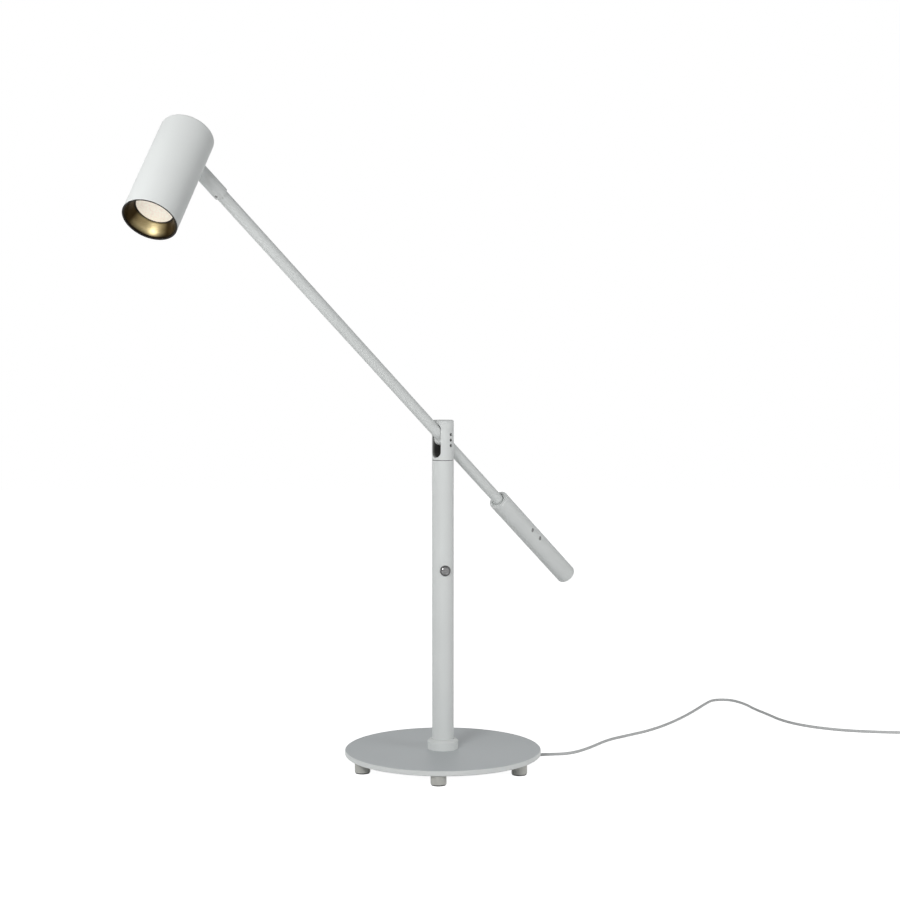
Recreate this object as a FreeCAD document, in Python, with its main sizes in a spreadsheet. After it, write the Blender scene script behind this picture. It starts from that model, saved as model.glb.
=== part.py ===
import FreeCAD, Part
import math
import os
import Sketcher

# A desk lamp whose straight arm is balanced by a counterweight. A round steel base on six feet carries
# a tubular post. A slotted knuckle swivels on the post and the arm tilts in it on a cross barrel. The
# tubular lamp head swivels about the arm. Millimetres, +Z up, the floor at z = 0, the post on the Z
# axis, the front of the lamp towards -Y.

doc = FreeCAD.newDocument("BalanceDeskLamp")

# ---------------------------------------------------------------- driving dimensions
SIZES = {
    # base
    "plate_dia": 230.0, "plate_thick": 6.0, "plate_edge": 0.8,
    "foot_dia": 18.0, "foot_tall": 12.0, "foot_inset": 11.0, "foot_first_angle": -2.5,
    "pad_dia": 16.4, "pad_thick": 1.5, "foot_screw_dia": 4.0, "foot_screw_head": 7.6,
    "foot_screw_bite": 4.0, "foot_shoulder": 6.5,
    "collar_dia": 36.0, "collar_tall": 12.0, "collar_slope": 3.0,
    "plug_length": 26.0, "nipple_dia": 10.0, "nipple_bore": 6.5, "nipple_bite": 18.0,
    "washer_dia": 22.0, "washer_thick": 1.4, "base_nut_flats": 14.0, "base_nut_thick": 2.6,
    "cover_dia": 60.0, "cover_deep": 9.0, "cover_wall": 1.6, "cover_boss_dia": 7.0,
    "cover_screw_dia": 3.0, "cover_screw_head": 5.4, "cover_screw_circle": 44.0, "cover_screw_bite": 3.5,
    # post, switch and swivel
    "post_dia": 25.4, "post_wall": 1.5, "pivot_tall": 364.3,
    "switch_tall": 211.0, "switch_angle": 13.0, "bezel_dia": 12.6, "bezel_proud": 0.9,
    "bezel_deep": 4.4, "button_dia": 9.6, "button_proud": 1.6, "button_gap": 0.15,
    "button_travel": 1.2, "stem_dia": 4.0, "switch_dia": 13.6, "switch_deep": 14.0,
    "bush_length": 18.0, "bush_flange": 0.6, "bush_flange_dia": 24.6, "spigot_dia": 14.0,
    "running_gap": 0.05, "thrust_gap": 0.1, "lock_ring_dia": 20.0, "lock_ring_thick": 5.0,
    "wire_bore": 6.0,
    # knuckle
    "knuckle_drop": 24.4, "knuckle_rise": 21.8, "knuckle_round": 1.6,
    "slot_wide": 13.3, "slot_down": 21.7, "slot_up": 18.4,
    "barrel_dia": 15.0, "barrel_left": 9.4, "barrel_right": 8.2,
    "window_wide": 12.4, "window_tall": 19.0, "window_drop": 1.2, "window_floor": 8.4,
    "plate_screw_dia": 3.8, "plate_screw_pitch": 6.4, "plate_screw_sunk": 0.5,
    # arm and counterweight
    "arm_azimuth": 42.5, "arm_elevation": 38.2, "rod_dia": 12.7, "rod_wall": 1.5,
    "head_reach": 489.2, "weight_start": 125.0, "weight_length": 167.0, "weight_dia": 24.4,
    "weight_edge": 1.6, "weight_mouth_dia": 17.0, "weight_mouth_deep": 2.5, "rod_into_weight": 132.0,
    "weight_screw_dia": 5.0, "weight_screw_at": 65.0, "weight_screw_pitch": 18.0, "screw_sunk": 0.8,
    # head
    "head_roll": 13.9, "shade_dia": 56.0, "shade_wall": 1.5, "shade_above": 22.8,
    "shade_below": 96.3, "shade_round": 3.0, "sleeve_dia": 15.6, "sleeve_length": 37.2,
    "sleeve_bore_deep": 27.5, "rod_into_sleeve": 26.5, "sleeve_screw_dia": 3.2, "sleeve_screw_at": 4.0,
    "head_nipple_dia": 8.0, "head_nipple_bore": 5.0, "head_nipple_bite": 8.0,
    "head_nut_flats": 12.0, "head_nut_thick": 4.0, "saddle_dia": 16.0, "saddle_thick": 1.2,
    "carrier_drop": 8.6, "carrier_thick": 1.5, "holder_dia": 27.0, "holder_tall": 24.0,
    "holder_screw_dia": 3.0, "holder_screw_pitch": 16.0,
    "lamp_recess": 15.5, "lamp_dia": 50.0, "lamp_neck_dia": 26.0, "lamp_neck_tall": 9.0,
    "lamp_rim_tall": 8.0, "lens_dia": 38.0, "lens_thick": 1.6, "lamp_pin_dia": 5.0,
    "lamp_pin_pitch": 10.0, "lamp_pin_length": 7.0, "lamp_pin_gap": 0.15,
    "ring_lip": 4.4, "ring_lip_thick": 1.5, "ring_wall": 1.0, "ring_inset": 1.0,
    # supply cord
    "cord_dia": 3.5, "cord_exit_angle": 17.5, "cord_in_relief": 10.0,
    "relief_drop": 3.9, "relief_length": 24.0, "relief_big": 6.4, "relief_neck": 5.2,
    "relief_small": 4.8, "relief_flange": 1.2, "relief_gap": 0.3,
    "coil_turns_across": 3.0, "coil_turns_tall": 3.0, "coil_mid_dia": 38.5, "coil_x": 618.0, "coil_y": 180.0,
    "plug_wide": 35.0, "plug_body": 36.0, "plug_thick": 13.6, "plug_back": 13.0, "plug_round": 2.6,
    "plug_y": 232.0, "pin_dia": 4.0, "pin_length": 19.0, "pin_pitch": 18.6,
}

sheet = doc.addObject("Spreadsheet::Sheet", "Dims")
for row, (alias, size) in enumerate(SIZES.items(), start=1):
    sheet.set("A%d" % row, alias)
    sheet.set("B%d" % row, str(size))
    sheet.setAlias("B%d" % row, alias)
doc.recompute()

# Heights and places that several pieces share, as expressions of the driving dimensions.
PLATE_TOP = "(Dims.foot_tall + Dims.plate_thick)"
PIVOT = "(Dims.foot_tall + Dims.plate_thick + Dims.pivot_tall)"
POST_TOP = "(" + PIVOT + " - Dims.knuckle_drop - Dims.thrust_gap - Dims.bush_flange)"
POST_BORE = "(Dims.post_dia / 2 - Dims.post_wall)"
SWITCH_Z = "(" + PLATE_TOP + " + Dims.switch_tall)"
ROD_END = "(Dims.head_reach - Dims.shade_dia / 2 - Dims.sleeve_length + Dims.rod_into_sleeve)"
SHADE_BORE = "(Dims.shade_dia / 2 - Dims.shade_wall)"
LAMP_FACE = "(Dims.shade_below - Dims.lamp_recess)"
CARRIER_LOW = "(Dims.carrier_drop + Dims.carrier_thick)"
HOLDER_LOW = "(" + CARRIER_LOW + " + Dims.holder_tall)"

# Frames: the knuckle and arm start at the pivot with +X towards the head and +Y to the screwed cheek.
# The head starts where the arm's axis meets the shade's, with -Z out of its mouth.
KNUCKLE_FRAME = "placement(vector(0; 0; %s); rotation(-90 - Dims.arm_azimuth; 0; 0))" % PIVOT
ARM_FRAME = "placement(vector(0; 0; %s); rotation(-90 - Dims.arm_azimuth; -Dims.arm_elevation; 0))" % PIVOT
HEAD_FRAME = (
    "placement(vector(-sin(Dims.arm_azimuth) * cos(Dims.arm_elevation) * Dims.head_reach;"
    " -cos(Dims.arm_azimuth) * cos(Dims.arm_elevation) * Dims.head_reach;"
    " %s + sin(Dims.arm_elevation) * Dims.head_reach);"
    " rotation(-90 - Dims.arm_azimuth; -Dims.arm_elevation; Dims.head_roll))" % PIVOT
)
SWITCH_FRAME = "placement(vector(0; 0; %s); rotation(-90 + Dims.switch_angle; 0; 0))" % SWITCH_Z
RELIEF_Z = "(Dims.foot_tall - Dims.relief_drop)"
EXIT_FRAME = "placement(vector(0; 0; %s); rotation(Dims.cord_exit_angle; 0; 0))" % RELIEF_Z
TURN = {"X": "rotation(0; 90; 0)", "Y": "rotation(0; 0; -90)", "Z": "rotation(0; 0; 0)"}


# ---------------------------------------------------------------- small building blocks
def value(expression):
    """The number an expression of the driving dimensions stands for."""
    return float(sheet.evalExpression(expression.replace("Dims.", "")))


def at(x, y, z, rotation=TURN["Z"]):
    """A placement expression from three coordinates and a rotation."""
    return "placement(vector(%s; %s; %s); %s)" % (x, y, z, rotation)


def place(shape_object, frame):
    """Put a finished piece, built in its own frame, where it belongs on the lamp."""
    shape_object.setExpression("Placement", frame)
    return shape_object


def round_bar(name, radius, length, where=("0", "0", "0"), along="Z"):
    """A plain cylinder that starts at a point and runs along one axis."""
    bar = doc.addObject("Part::Cylinder", name)
    bar.setExpression("Radius", radius)
    bar.setExpression("Height", length)
    bar.setExpression("Placement", at(where[0], where[1], where[2], TURN[along]))
    return bar


def hex_bar(name, flats, length, where=("0", "0", "0"), along="Z"):
    """A hexagonal prism by its width across flats."""
    prism = doc.addObject("Part::Prism", name)
    prism.Polygon = 6
    prism.setExpression("Circumradius", "%s / sqrt(3)" % flats)
    prism.setExpression("Height", length)
    prism.setExpression("Placement", at(where[0], where[1], where[2], TURN[along]))
    return prism


def fused(name, pieces):
    """Several shapes made one."""
    fuse = doc.addObject("Part::MultiFuse", name)
    fuse.Shapes = pieces
    return fuse


def cut(name, base, tools):
    """A shape less one or more others."""
    piece = doc.addObject("Part::Cut", name)
    piece.Base = base
    piece.Tool = tools[0] if len(tools) == 1 else fused(name + "_cuts", tools)
    return piece


def common(name, first, second):
    """What two shapes share."""
    piece = doc.addObject("Part::Common", name)
    piece.Base = first
    piece.Tool = second
    return piece


def separate(name, pieces):
    """Like pieces that stay separate solids in one part."""
    group = doc.addObject("Part::Compound", name)
    group.Links = pieces
    return group


def sketch_on(body, role, name):
    """A sketch on one of a body's own origin planes."""
    plane = [item for item in body.Origin.OriginFeatures if item.Role == role][0]
    sketch = doc.addObject("Sketcher::SketchObject", name)
    body.addObject(sketch)
    sketch.AttachmentSupport = [(plane, "")]
    sketch.MapMode = "FlatFace"
    return sketch


def outline(sketch, corners):
    """A closed outline of straight lines whose corners are held by expressions."""
    spots = [FreeCAD.Vector(value(x), value(y), 0) for x, y in corners]
    count = len(spots)
    for i in range(count):
        sketch.addGeometry(Part.LineSegment(spots[i], spots[(i + 1) % count]), False)
    for i in range(count):
        sketch.addConstraint(Sketcher.Constraint("Coincident", i, 2, (i + 1) % count, 1))
    for i, (x, y) in enumerate(corners):
        for letter, axis, text, spot in (("X", -2, x, spots[i].x), ("Y", -1, y, spots[i].y)):
            if text == "0":
                sketch.addConstraint(Sketcher.Constraint("PointOnObject", i, 1, axis))
                continue
            rule = sketch.addConstraint(Sketcher.Constraint("Distance" + letter, -1, 1, i, 1, spot))
            sketch.renameConstraint(rule, "%s%d" % (letter, i))
            sketch.setExpression("Constraints.%s%d" % (letter, i), text)


def turned(name, corners, axis="V_Axis"):
    """A body turned from a profile: radius and height for the Z axis, length and radius for X."""
    body = doc.addObject("PartDesign::Body", name)
    profile = sketch_on(body, "XZ_Plane", name + "_profile")
    outline(profile, corners)
    turn = doc.addObject("PartDesign::Revolution", name + "_turn")
    body.addObject(turn)
    turn.Profile = profile
    turn.ReferenceAxis = (profile, [axis])
    turn.Angle = 360.0
    body.Tip = turn
    doc.recompute()
    return body


def soften(body, size, rings, axis="Z"):
    """Round the circular edges of a turned body that have the given radius and height."""
    names = []
    base = body.Tip
    for i, edge in enumerate(base.Shape.Edges, start=1):
        if edge.Curve.TypeId != "Part::GeomCircle":
            continue
        centre = edge.Curve.Center
        height = centre.z if axis == "Z" else centre.x
        for radius, level in rings:
            if abs(edge.Curve.Radius - value(radius)) < 1e-4 and abs(height - value(level)) < 1e-4:
                names.append("Edge%d" % i)
    fillet = doc.addObject("PartDesign::Fillet", body.Name + "_round")
    body.addObject(fillet)
    fillet.Base = (base, sorted(set(names)))
    fillet.setExpression("Radius", size)
    body.Tip = fillet
    doc.recompute()
    return body


def around(name, maker, count, radius, first_angle):
    """Copies of a small piece on a circle round the Z axis, as separate solids."""
    copies = []
    for i in range(count):
        angle = "%s + %s" % (first_angle, 360.0 * i / count)
        spot = ("%s * cos(%s)" % (radius, angle), "%s * sin(%s)" % (radius, angle))
        copies.append(maker("%s_%d" % (name, i + 1), spot[0], spot[1]))
    return copies


NODES = []


def keep(piece, label, frame=None):
    """Name a finished piece, place it and list it for export."""
    if frame:
        place(piece, frame)
    piece.Label = label
    NODES.append((label, piece))
    return piece


# ---------------------------------------------------------------- base
FEET = 6
FOOT_ANGLE = "(-90 + Dims.foot_first_angle)"
FOOT_CIRCLE = "(Dims.plate_dia / 2 - Dims.foot_inset)"
COVER_SCREWS = 3
COVER_ANGLE = "(Dims.cord_exit_angle + 60)"
COVER_CIRCLE = "Dims.cover_screw_circle / 2"

plate_disc = turned("plate_disc", [
    ("Dims.nipple_dia / 2", "Dims.foot_tall"),
    ("Dims.plate_dia / 2 - Dims.plate_edge", "Dims.foot_tall"),
    ("Dims.plate_dia / 2", "Dims.foot_tall + Dims.plate_edge"),
    ("Dims.plate_dia / 2", PLATE_TOP + " - Dims.plate_edge"),
    ("Dims.plate_dia / 2 - Dims.plate_edge", PLATE_TOP),
    ("Dims.nipple_dia / 2", PLATE_TOP),
])
foot_holes = around("foot_hole", lambda name, x, y: round_bar(
    name, "Dims.foot_screw_dia / 2", "Dims.foot_screw_bite", (x, y, "Dims.foot_tall")),
    FEET, FOOT_CIRCLE, FOOT_ANGLE)
cover_holes = around("cover_hole", lambda name, x, y: round_bar(
    name, "Dims.cover_screw_dia / 2", "Dims.cover_screw_bite", (x, y, "Dims.foot_tall")),
    COVER_SCREWS, COVER_CIRCLE, COVER_ANGLE)
keep(cut("plate_drilled", plate_disc, foot_holes + cover_holes), "base_plate")


def foot(name, x, y):
    """A round foot, counterbored from below for its screw."""
    block = round_bar(name + "_block", "Dims.foot_dia / 2", "Dims.foot_tall - Dims.pad_thick",
                      (x, y, "Dims.pad_thick"))
    well = round_bar(name + "_well", "Dims.foot_screw_head / 2 + 0.3",
                     "Dims.foot_tall - Dims.foot_shoulder - Dims.pad_thick", (x, y, "Dims.pad_thick"))
    hole = round_bar(name + "_hole", "Dims.foot_screw_dia / 2", "Dims.foot_tall", (x, y, "Dims.pad_thick"))
    return cut(name, block, [well, hole])


def foot_screw(name, x, y):
    """A pan-headed screw, head down in the foot's well, threaded into the plate."""
    shank = round_bar(name + "_shank", "Dims.foot_screw_dia / 2", "Dims.foot_shoulder + Dims.foot_screw_bite",
                      (x, y, "Dims.foot_tall - Dims.foot_shoulder"))
    head = round_bar(name + "_head", "Dims.foot_screw_head / 2", "Dims.foot_screw_dia * 0.6",
                     (x, y, "Dims.foot_tall - Dims.foot_shoulder - Dims.foot_screw_dia * 0.6"))
    return fused(name, [shank, head])


def foot_pad(name, x, y):
    """A thin grip pad that closes the foot's well."""
    return round_bar(name, "Dims.pad_dia / 2", "Dims.pad_thick", (x, y, "0"))


keep(separate("foot_set", around("foot", foot, FEET, FOOT_CIRCLE, FOOT_ANGLE)), "feet")
keep(separate("foot_screw_set", around("foot_screw", foot_screw, FEET, FOOT_CIRCLE, FOOT_ANGLE)), "foot_screws")
keep(separate("foot_pad_set", around("foot_pad", foot_pad, FEET, FOOT_CIRCLE, FOOT_ANGLE)), "foot_pads")

collar = turned("collar_ring", [
    ("Dims.post_dia / 2", PLATE_TOP),
    ("Dims.collar_dia / 2", PLATE_TOP),
    ("Dims.collar_dia / 2", PLATE_TOP + " + Dims.collar_tall - Dims.collar_slope"),
    ("Dims.collar_dia / 2 - Dims.collar_slope", PLATE_TOP + " + Dims.collar_tall"),
    ("Dims.post_dia / 2", PLATE_TOP + " + Dims.collar_tall"),
])
keep(soften(collar, "Dims.collar_slope / 4", [
    ("Dims.collar_dia / 2", PLATE_TOP + " + Dims.collar_tall - Dims.collar_slope"),
    ("Dims.collar_dia / 2 - Dims.collar_slope", PLATE_TOP + " + Dims.collar_tall"),
]), "post_collar")

keep(turned("post_plug_body", [
    ("Dims.nipple_dia / 2", PLATE_TOP),
    (POST_BORE, PLATE_TOP),
    (POST_BORE, PLATE_TOP + " + Dims.plug_length - 1"),
    (POST_BORE + " - 1", PLATE_TOP + " + Dims.plug_length"),
    ("Dims.nipple_dia / 2", PLATE_TOP + " + Dims.plug_length"),
]), "post_plug")

NUT_TOP = "(Dims.foot_tall - Dims.washer_thick)"
NUT_LOW = "(" + NUT_TOP + " - Dims.base_nut_thick)"
keep(turned("base_nipple_tube", [
    ("Dims.nipple_bore / 2", NUT_LOW),
    ("Dims.nipple_dia / 2", NUT_LOW),
    ("Dims.nipple_dia / 2", PLATE_TOP + " + Dims.nipple_bite"),
    ("Dims.nipple_bore / 2", PLATE_TOP + " + Dims.nipple_bite"),
]), "base_nipple")
keep(cut("base_washer_ring",
         round_bar("base_washer_disc", "Dims.washer_dia / 2", "Dims.washer_thick", ("0", "0", NUT_TOP)),
         [round_bar("base_washer_hole", "Dims.nipple_dia / 2", "Dims.washer_thick", ("0", "0", NUT_TOP))]),
     "base_washer")
keep(cut("base_nut_ring",
         hex_bar("base_nut_hex", "Dims.base_nut_flats", "Dims.base_nut_thick", ("0", "0", NUT_LOW)),
         [round_bar("base_nut_hole", "Dims.nipple_dia / 2", "Dims.base_nut_thick", ("0", "0", NUT_LOW))]),
     "base_nut")

# The shallow cover under the plate hides the nut and holds the cord's strain relief.
COVER_LOW = "(Dims.foot_tall - Dims.cover_deep)"
cover_cup = turned("cover_cup", [
    ("0", COVER_LOW),
    ("Dims.cover_dia / 2", COVER_LOW),
    ("Dims.cover_dia / 2", "Dims.foot_tall"),
    ("Dims.cover_dia / 2 - Dims.cover_wall", "Dims.foot_tall"),
    ("Dims.cover_dia / 2 - Dims.cover_wall", COVER_LOW + " + Dims.cover_wall"),
    ("0", COVER_LOW + " + Dims.cover_wall"),
])
cover_bosses = around("cover_boss", lambda name, x, y: round_bar(
    name, "Dims.cover_boss_dia / 2", "Dims.cover_deep", (x, y, COVER_LOW)),
    COVER_SCREWS, COVER_CIRCLE, COVER_ANGLE)
cover_bores = around("cover_bore", lambda name, x, y: round_bar(
    name, "Dims.cover_screw_dia / 2", "Dims.cover_deep", (x, y, COVER_LOW)),
    COVER_SCREWS, COVER_CIRCLE, COVER_ANGLE)
cover_sinks = around("cover_sink", lambda name, x, y: round_bar(
    name, "Dims.cover_screw_head / 2", "Dims.cover_wall", (x, y, COVER_LOW)),
    COVER_SCREWS, COVER_CIRCLE, COVER_ANGLE)
relief_hole = round_bar("relief_hole", "Dims.relief_neck / 2", "Dims.cover_dia")
relief_hole.setExpression("Placement", EXIT_FRAME.replace("; 0; 0))", "; 90; 0))"))
keep(cut("cover_cut", fused("cover_solid", [cover_cup] + cover_bosses),
         cover_bores + cover_sinks + [relief_hole]), "under_cover")


def cover_screw(name, x, y):
    """A small screw sunk flush in the cover and threaded into the plate."""
    shank = round_bar(name + "_shank", "Dims.cover_screw_dia / 2", "Dims.cover_deep + Dims.cover_screw_bite",
                      (x, y, COVER_LOW))
    head = round_bar(name + "_head", "Dims.cover_screw_head / 2", "Dims.cover_wall", (x, y, COVER_LOW))
    return fused(name, [shank, head])


keep(separate("cover_screw_set", around("cover_screw", cover_screw, COVER_SCREWS, COVER_CIRCLE, COVER_ANGLE)),
     "cover_screws")

# ---------------------------------------------------------------- post, switch and swivel bush
post_shell = turned("post_shell", [
    (POST_BORE, PLATE_TOP),
    ("Dims.post_dia / 2", PLATE_TOP),
    ("Dims.post_dia / 2", POST_TOP),
    (POST_BORE, POST_TOP),
])
switch_hole = round_bar("switch_hole", "Dims.bezel_dia / 2", "Dims.post_dia", ("0", "0", "0"), "X")
switch_hole.setExpression("Placement", SWITCH_FRAME.replace("; 0; 0))", "; 90; 0))"))
keep(cut("post_pierced", post_shell, [switch_hole]), "post_tube")

BEZEL_BACK = "(Dims.post_dia / 2 - Dims.bezel_deep)"
BEZEL_FACE = "(Dims.post_dia / 2 + Dims.bezel_proud)"
BUTTON_FACE = "(Dims.post_dia / 2 + Dims.button_proud)"
BUTTON_SEAT = "(" + BEZEL_BACK + " + Dims.button_gap)"
bezel = turned("bezel_ring", [
    (BEZEL_BACK, "Dims.button_dia / 2 + Dims.button_gap"),
    (BEZEL_FACE, "Dims.button_dia / 2 + Dims.button_gap"),
    (BEZEL_FACE, "Dims.bezel_dia / 2 - 0.4"),
    (BEZEL_FACE + " - 0.4", "Dims.bezel_dia / 2"),
    (BEZEL_BACK, "Dims.bezel_dia / 2"),
], "H_Axis")
keep(bezel, "switch_bezel", SWITCH_FRAME)

button = turned("button_cap", [
    (BEZEL_BACK + " - 5", "0"),
    (BEZEL_BACK + " - 5", "Dims.stem_dia / 2"),
    (BUTTON_SEAT, "Dims.stem_dia / 2"),
    (BUTTON_SEAT, "Dims.button_dia / 2"),
    (BUTTON_FACE + " - 0.5", "Dims.button_dia / 2"),
    (BUTTON_FACE, "Dims.button_dia / 2 - 0.8"),
    (BUTTON_FACE, "0"),
], "H_Axis")
keep(button, "push_button", SWITCH_FRAME)

# The switch body is hollowed where the button and its stem travel.
keep(turned("switch_case", [
    (BEZEL_BACK + " - Dims.switch_deep", "0"),
    (BEZEL_BACK + " - Dims.switch_deep", "Dims.switch_dia / 2"),
    (BEZEL_BACK, "Dims.switch_dia / 2"),
    (BEZEL_BACK, "Dims.button_dia / 2 + Dims.button_gap"),
    (BEZEL_BACK + " - Dims.button_travel - 0.3", "Dims.button_dia / 2 + Dims.button_gap"),
    (BEZEL_BACK + " - Dims.button_travel - 0.3", "Dims.stem_dia / 2 + 0.3"),
    (BEZEL_BACK + " - 5 - Dims.button_travel - 0.3", "Dims.stem_dia / 2 + 0.3"),
    (BEZEL_BACK + " - 5 - Dims.button_travel - 0.3", "0"),
], "H_Axis"), "switch_body", SWITCH_FRAME)

SPIGOT_BORE = "(Dims.spigot_dia / 2 + Dims.running_gap)"
keep(turned("bush_sleeve", [
    (SPIGOT_BORE, POST_TOP + " - Dims.bush_length"),
    (POST_BORE, POST_TOP + " - Dims.bush_length"),
    (POST_BORE, POST_TOP),
    ("Dims.bush_flange_dia / 2", POST_TOP),
    ("Dims.bush_flange_dia / 2", POST_TOP + " + Dims.bush_flange"),
    (SPIGOT_BORE, POST_TOP + " + Dims.bush_flange"),
]), "swivel_bush")

# ---------------------------------------------------------------- knuckle
BUSH_LOW = "(Dims.knuckle_drop + Dims.thrust_gap + Dims.bush_flange + Dims.bush_length)"
SPIGOT_LOW = "(" + BUSH_LOW + " + Dims.thrust_gap + Dims.lock_ring_thick)"
knuckle_turned = turned("knuckle_turned", [
    ("0", "-" + SPIGOT_LOW),
    ("Dims.spigot_dia / 2", "-" + SPIGOT_LOW),
    ("Dims.spigot_dia / 2", "-Dims.knuckle_drop"),
    ("Dims.post_dia / 2", "-Dims.knuckle_drop"),
    ("Dims.post_dia / 2", "Dims.knuckle_rise"),
    ("0", "Dims.knuckle_rise"),
])
soften(knuckle_turned, "Dims.knuckle_round", [("Dims.post_dia / 2", "Dims.knuckle_rise")])


def tall_slot(name, wide, low, high, start, length, along):
    """A vertical slot with round ends, cut along X or Y."""
    radius = "%s / 2" % wide
    square = {"X": ("-" + radius, "Y"), "Y": ("-" + radius, "X")}[along]
    block = doc.addObject("Part::Box", name + "_flat")
    block.setExpression("Height", "%s - %s - %s" % (high, low, wide))
    block.setExpression("Length", length if along == "X" else wide)
    block.setExpression("Width", wide if along == "X" else length)
    corner = (start, square[0]) if along == "X" else (square[0], start)
    block.setExpression("Placement", at(corner[0], corner[1], "%s + %s" % (low, radius)))
    ends = []
    for tag, level in (("low", "%s + %s" % (low, radius)), ("high", "%s - %s" % (high, radius))):
        where = (start, "0", level) if along == "X" else ("0", start, level)
        ends.append(round_bar("%s_%s" % (name, tag), radius, length, where, along))
    return fused(name, [block] + ends)


arm_slot = tall_slot("arm_slot", "Dims.slot_wide", "-Dims.slot_down", "Dims.slot_up",
                     "-Dims.post_dia", "2 * Dims.post_dia", "X")
WINDOW_LOW = "(-Dims.window_drop - Dims.window_tall / 2)"
WINDOW_HIGH = "(-Dims.window_drop + Dims.window_tall / 2)"
window = tall_slot("cheek_window", "Dims.window_wide", WINDOW_LOW, WINDOW_HIGH,
                   "Dims.window_floor", "Dims.post_dia", "Y")
barrel_bore = round_bar("barrel_bore", "Dims.barrel_dia / 2 + Dims.running_gap",
                        "Dims.barrel_left + 0.1 + Dims.window_floor",
                        ("0", "-Dims.barrel_left - 0.1", "0"), "Y")
wire_way = round_bar("wire_way", "Dims.wire_bore / 2", SPIGOT_LOW + " - Dims.slot_down + 1",
                     ("0", "0", "-" + SPIGOT_LOW))
keep(cut("knuckle_cut", knuckle_turned, [arm_slot, window, barrel_bore, wire_way]), "knuckle", KNUCKLE_FRAME)

keep(cut("lock_ring_cut",
         round_bar("lock_ring_disc", "Dims.lock_ring_dia / 2", "Dims.lock_ring_thick",
                   ("0", "0", "-" + SPIGOT_LOW)),
         [round_bar("lock_ring_hole", "Dims.spigot_dia / 2", "Dims.lock_ring_thick",
                    ("0", "0", "-" + SPIGOT_LOW))]), "swivel_lock_ring", KNUCKLE_FRAME)

# The cheek plate closes the barrel's bore. It is flush with the knuckle and carries three screws in line.
plate_stock = tall_slot("plate_stock", "Dims.window_wide", WINDOW_LOW, WINDOW_HIGH,
                        "Dims.window_floor", "Dims.post_dia / 2", "Y")
plate_round = round_bar("plate_round", "Dims.post_dia / 2", "Dims.window_tall + 10",
                        ("0", "0", WINDOW_LOW + " - 5"))
PLATE_LEVELS = ["-Dims.window_drop + Dims.plate_screw_pitch * (%d)" % i for i in (-1, 0, 1)]
plate_holes = [round_bar("plate_hole_%d" % (i + 1), "Dims.plate_screw_dia / 2", "Dims.post_dia",
                         ("0", "0", level), "Y") for i, level in enumerate(PLATE_LEVELS)]
keep(cut("cheek_plate_cut", common("cheek_plate_blank", plate_stock, plate_round), plate_holes),
     "cheek_plate", KNUCKLE_FRAME)
plate_screws = [round_bar("plate_screw_%d" % (i + 1), "Dims.plate_screw_dia / 2",
                          "Dims.post_dia / 2 - Dims.window_floor - Dims.plate_screw_sunk",
                          ("0", "Dims.window_floor", level), "Y") for i, level in enumerate(PLATE_LEVELS)]
keep(separate("plate_screw_set", plate_screws), "cheek_screws", KNUCKLE_FRAME)

# ---------------------------------------------------------------- arm and counterweight
ROD_LOW = "(Dims.weight_start + Dims.rod_into_weight)"
keep(turned("arm_pipe", [
    ("-" + ROD_LOW, "Dims.rod_dia / 2 - Dims.rod_wall"),
    ("-" + ROD_LOW, "Dims.rod_dia / 2"),
    (ROD_END, "Dims.rod_dia / 2"),
    (ROD_END, "Dims.rod_dia / 2 - Dims.rod_wall"),
], "H_Axis"), "arm_tube", ARM_FRAME)

barrel_bar = round_bar("barrel_bar", "Dims.barrel_dia / 2", "Dims.barrel_left + Dims.barrel_right",
                       ("0", "-Dims.barrel_left", "0"), "Y")
barrel_eye = round_bar("barrel_eye", "Dims.rod_dia / 2", "2 * Dims.barrel_dia", ("-Dims.barrel_dia", "0", "0"), "X")
keep(cut("barrel_cut", barrel_bar, [barrel_eye]), "tilt_barrel", ARM_FRAME)

WEIGHT_END = "(Dims.weight_start + Dims.weight_length)"
weight_bar = turned("weight_bar", [
    ("-Dims.weight_start", "Dims.weight_mouth_dia / 2"),
    ("-Dims.weight_start", "Dims.weight_dia / 2"),
    ("-" + WEIGHT_END, "Dims.weight_dia / 2"),
    ("-" + WEIGHT_END, "0"),
    ("-" + ROD_LOW, "0"),
    ("-" + ROD_LOW, "Dims.rod_dia / 2"),
    ("-Dims.weight_start - Dims.weight_mouth_deep", "Dims.rod_dia / 2"),
    ("-Dims.weight_start - Dims.weight_mouth_deep", "Dims.weight_mouth_dia / 2"),
], "H_Axis")
soften(weight_bar, "Dims.weight_edge", [
    ("Dims.weight_dia / 2", "-" + WEIGHT_END),
    ("Dims.weight_dia / 2", "-Dims.weight_start"),
], "X")
SCREW_SPOTS = ["-Dims.weight_start - Dims.weight_screw_at - Dims.weight_screw_pitch * (%d)" % i for i in (0, 1)]
weight_holes = [round_bar("weight_hole_%d" % (i + 1), "Dims.weight_screw_dia / 2", "Dims.weight_dia",
                          (spot, "0", "0"), "Y") for i, spot in enumerate(SCREW_SPOTS)]
keep(cut("weight_drilled", weight_bar, weight_holes), "counterweight", ARM_FRAME)
SCREW_LENGTH = "(Dims.weight_dia / 2 - Dims.rod_dia / 2 - Dims.screw_sunk)"
weight_screws = [round_bar("weight_screw_%d" % (i + 1), "Dims.weight_screw_dia / 2", SCREW_LENGTH + " + 0.4",
                           (spot, "Dims.rod_dia / 2 - 0.4", "0"), "Y") for i, spot in enumerate(SCREW_SPOTS)]
rod_solid = round_bar("rod_solid", "Dims.rod_dia / 2", "Dims.weight_length",
                      ("-" + WEIGHT_END, "0", "0"), "X")
keep(cut("weight_screw_cut", separate("weight_screw_set", weight_screws), [rod_solid]),
     "weight_screws", ARM_FRAME)

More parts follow.
